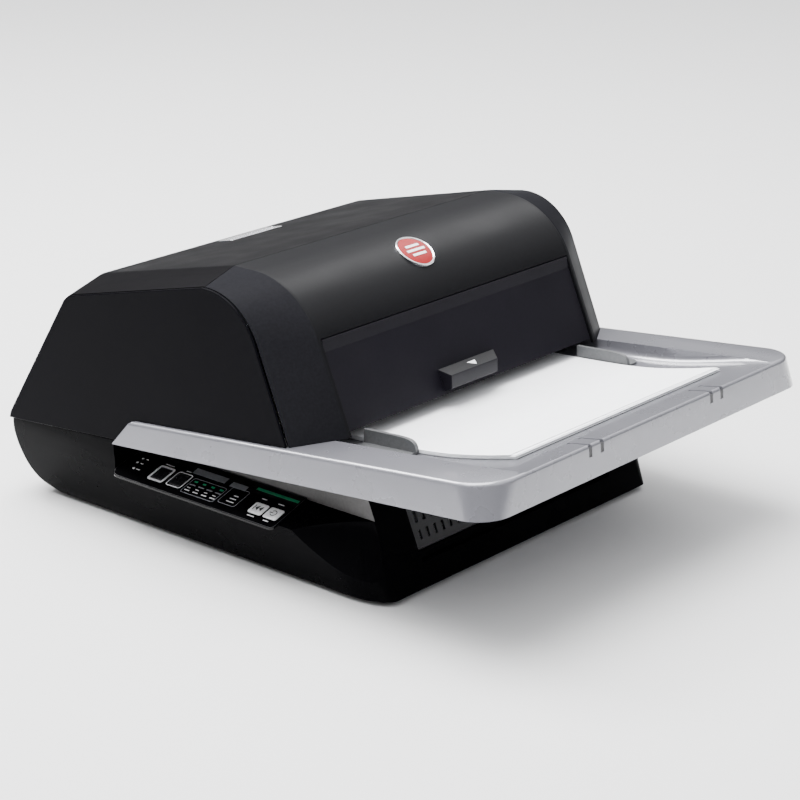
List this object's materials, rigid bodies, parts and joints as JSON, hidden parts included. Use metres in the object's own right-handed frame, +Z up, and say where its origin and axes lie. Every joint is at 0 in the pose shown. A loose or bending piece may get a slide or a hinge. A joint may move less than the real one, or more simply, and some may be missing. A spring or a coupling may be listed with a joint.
{
  "type": "automatic sheet-fed laminator",
  "caption": "Desktop automatic laminator: dished feed tray, feed flap, paper guides, film cover, side control ledge and driven rollers inside.",
  "frame": {"origin": "centre of the machine's footprint box, on the surface it stands on", "axes": "+X to the machine's right seen from the feed tray, +Y from the feed tray towards the rear exit, +Z up"},
  "size_m": [0.462, 0.5894, 0.264],
  "materials": {
    "housing": "satin charcoal moulding",
    "hood": "smooth black moulding with a soft sheen",
    "tray_silver": "silver metallic paint, satin",
    "panel_gloss": "high gloss black",
    "button": "light grey key",
    "dark_plastic": "fine textured dark grey",
    "paper": "plain white sheets",
    "rubber": "matt black",
    "silicone": "heat-proof red-brown sleeve",
    "steel": "rolled sheet and bar",
    "bright_strip": "bright finger strip",
    "badge_red": "domed red enamel look",
    "gear_plastic": "natural moulded gear plastic",
    "film": "wound clear laminating film",
    "board": "green circuit board"
  },
  "bodies": {
    "root": {"badge": "badge_red", "base_tub": "housing", "control_board": "board", "control_panel": "panel_gloss", "cutter_rail": "steel", "drive_motor": "steel", "fan_frame": "dark_plastic", "feed_tray": "tray_silver", "foot_front_left": "rubber", "foot_front_right": "rubber", "foot_rear_left": "rubber", "foot_rear_right": "rubber", "front_cowl": "hood", "front_cross_bar": "steel", "front_grille": "dark_plastic", "left_frame_plate": "steel", "left_side_panel": "housing", "power_inlet": "dark_plastic", "power_supply": "steel", "rear_cover": "housing", "rear_cross_bar": "steel", "right_frame_plate": "steel", "right_side_panel": "housing"},
    "top_cover": {"top_cover": "hood", "cover_grip": "bright_strip"},
    "feed_flap": {"feed_flap": "hood", "flap_pull": "dark_plastic"},
    "left_guide": {"left_paper_guide": "dark_plastic"},
    "right_guide": {"right_paper_guide": "dark_plastic"},
    "guide_pinion": {"guide_pinion": "gear_plastic"},
    "paper": {"paper_stack": "paper"},
    "mode_button": {"mode_button": "button"},
    "stop_button": {"stop_button": "button"},
    "feed_key": {"feed_key": "button"},
    "power_key": {"power_key": "button"},
    "pick_roller": {"pick_roller": "rubber", "pick_gear": "gear_plastic"},
    "feed_idler": {"feed_idler_gear": "gear_plastic"},
    "feed_roller": {"feed_roller": "rubber", "feed_gear": "gear_plastic"},
    "pinch_roller": {"pinch_roller": "rubber"},
    "cartridge": {"film_cartridge": "dark_plastic"},
    "upper_spool": {"upper_film_spool": "film"},
    "lower_spool": {"lower_film_spool": "film"},
    "upper_heat_roller": {"upper_heat_roller": "silicone", "upper_heat_gear": "gear_plastic"},
    "lower_heat_roller": {"lower_heat_roller": "silicone", "lower_heat_gear": "gear_plastic"},
    "pull_idler": {"pull_idler_gear": "gear_plastic"},
    "upper_pull_roller": {"upper_pull_roller": "rubber", "upper_pull_gear": "gear_plastic"},
    "lower_pull_roller": {"lower_pull_roller": "rubber", "lower_pull_gear": "gear_plastic"},
    "motor_idler": {"motor_idler_gear": "gear_plastic"},
    "motor_pinion": {"motor_pinion": "steel"},
    "cutter_carriage": {"cutter_carriage": "dark_plastic"},
    "cutter_wheel": {"cutter_wheel": "steel"},
    "power_switch": {"power_switch": "button"},
    "fan_impeller": {"fan_impeller": "dark_plastic"}
  },
  "joints": [
    {"name": "cover_hinge", "type": "hinge", "parent": "root", "child": "top_cover", "pos_m": [0, 0.0323, 0.264], "axis": [1, 0, 0], "range_deg": [0, 80]},
    {"name": "flap_hinge", "type": "hinge", "parent": "root", "child": "feed_flap", "pos_m": [0, -0.0652, 0.2165], "axis": [-1, 0, 0], "range_deg": [0, 60]},
    {"name": "left_guide_slide", "type": "slide", "parent": "root", "child": "left_guide", "axis": [1, 0, 0], "range_m": [-0.004, 0]},
    {"name": "right_guide_slide", "type": "slide", "parent": "root", "child": "right_guide", "axis": [1, 0, 0], "range_m": [0, 0.004]},
    {"name": "pinion_spin", "type": "hinge", "parent": "root", "child": "guide_pinion", "pos_m": [0, -0.1262, 0.1161], "axis": [0, 0, 1], "range_deg": [-23, 0]},
    {"name": "paper_slide", "type": "slide", "parent": "root", "child": "paper", "axis": [0, -0.9397, 0.342], "range_m": [0, 0.04]},
    {"name": "mode_button_press", "type": "slide", "parent": "root", "child": "mode_button", "axis": [0.3162, 0, -0.9487], "range_m": [0, 0.001], "stiffness_N_per_m": 300, "springref_m": -0.0005},
    {"name": "stop_button_press", "type": "slide", "parent": "root", "child": "stop_button", "axis": [0.3162, 0, -0.9487], "range_m": [0, 0.001], "stiffness_N_per_m": 300, "springref_m": -0.0005},
    {"name": "feed_key_press", "type": "slide", "parent": "root", "child": "feed_key", "axis": [0.3162, 0, -0.9487], "range_m": [0, 0.001], "stiffness_N_per_m": 300, "springref_m": -0.0005},
    {"name": "power_key_press", "type": "slide", "parent": "root", "child": "power_key", "axis": [0.3162, 0, -0.9487], "range_m": [0, 0.001], "stiffness_N_per_m": 300, "springref_m": -0.0005},
    {"name": "feed_spin", "type": "hinge", "parent": "root", "child": "feed_roller", "pos_m": [0, -0.0062, 0.135], "axis": [1, 0, 0], "continuous": true},
    {"name": "feed_idler_spin", "type": "hinge", "parent": "root", "child": "feed_idler", "pos_m": [-0.1765, -0.02943, 0.15063], "axis": [1, 0, 0], "continuous": true},
    {"name": "pick_spin", "type": "hinge", "parent": "root", "child": "pick_roller", "pos_m": [0, -0.0562, 0.1424], "axis": [1, 0, 0], "continuous": true},
    {"name": "pinch_spin", "type": "hinge", "parent": "root", "child": "pinch_roller", "pos_m": [0, -0.0062, 0.1144], "axis": [1, 0, 0], "continuous": true},
    {"name": "cartridge_lift", "type": "slide", "parent": "root", "child": "cartridge", "axis": [0, 0, 1], "range_m": [0, 0.012]},
    {"name": "upper_spool_spin", "type": "hinge", "parent": "cartridge", "child": "upper_spool", "pos_m": [0, 0.0728, 0.175], "axis": [1, 0, 0], "continuous": true},
    {"name": "lower_spool_spin", "type": "hinge", "parent": "cartridge", "child": "lower_spool", "pos_m": [0, 0.0728, 0.067], "axis": [1, 0, 0], "continuous": true},
    {"name": "lower_heat_spin", "type": "hinge", "parent": "root", "child": "lower_heat_roller", "pos_m": [0, 0.1358, 0.093], "axis": [1, 0, 0], "continuous": true},
    {"name": "upper_heat_spin", "type": "hinge", "parent": "root", "child": "upper_heat_roller", "pos_m": [0, 0.1358, 0.133], "axis": [1, 0, 0], "continuous": true},
    {"name": "pull_idler_spin", "type": "hinge", "parent": "root", "child": "pull_idler", "pos_m": [0.1765, 0.16529, 0.07236], "axis": [1, 0, 0], "continuous": true},
    {"name": "lower_pull_spin", "type": "hinge", "parent": "root", "child": "lower_pull_roller", "pos_m": [0, 0.1888, 0.091], "axis": [1, 0, 0], "continuous": true},
    {"name": "upper_pull_spin", "type": "hinge", "parent": "root", "child": "upper_pull_roller", "pos_m": [0, 0.1888, 0.119], "axis": [1, 0, 0], "continuous": true},
    {"name": "motor_idler_spin", "type": "hinge", "parent": "root", "child": "motor_idler", "pos_m": [0.1765, 0.1178, 0.06182], "axis": [1, 0, 0], "continuous": true},
    {"name": "motor_spin", "type": "hinge", "parent": "root", "child": "motor_pinion", "pos_m": [0.1765, 0.1318, 0.03757], "axis": [1, 0, 0], "continuous": true},
    {"name": "cutter_slide", "type": "slide", "parent": "root", "child": "cutter_carriage", "axis": [1, 0, 0], "range_m": [0, 0.284]},
    {"name": "cutter_wheel_spin", "type": "hinge", "parent": "cutter_carriage", "child": "cutter_wheel", "pos_m": [-0.142, 0.20965, 0.108], "axis": [0, 1, 0], "range_deg": [0, 1815]},
    {"name": "switch_rock", "type": "hinge", "parent": "root", "child": "power_switch", "pos_m": [-0.115, 0.2868, 0.035], "axis": [1, 0, 0], "range_deg": [0, 8]},
    {"name": "fan_spin", "type": "hinge", "parent": "root", "child": "fan_impeller", "pos_m": [0, 0.2738, 0.043], "axis": [0, 1, 0], "continuous": true}
  ],
  "couplings": [
    {"joint": "right_guide_slide", "follows": "left_guide_slide", "ratio": -1},
    {"joint": "pinion_spin", "follows": "left_guide_slide", "rad_per_m": 100},
    {"joint": "feed_idler_spin", "follows": "feed_spin", "ratio": -0.75},
    {"joint": "pick_spin", "follows": "feed_spin", "ratio": 1},
    {"joint": "pinch_spin", "follows": "feed_spin", "ratio": -1},
    {"joint": "upper_heat_spin", "follows": "lower_heat_spin", "ratio": -1},
    {"joint": "pull_idler_spin", "follows": "lower_heat_spin", "ratio": -1.25},
    {"joint": "lower_pull_spin", "follows": "lower_heat_spin", "ratio": 1.4286},
    {"joint": "upper_pull_spin", "follows": "lower_heat_spin", "ratio": -1.4286},
    {"joint": "motor_idler_spin", "follows": "lower_heat_spin", "ratio": -1.25},
    {"joint": "motor_spin", "follows": "lower_heat_spin", "ratio": 1.6667},
    {"joint": "upper_spool_spin", "follows": "lower_heat_spin", "ratio": -0.72963},
    {"joint": "lower_spool_spin", "follows": "lower_heat_spin", "ratio": 0.788},
    {"joint": "cutter_wheel_spin", "follows": "cutter_slide", "rad_per_m": 111.11}
  ]
}
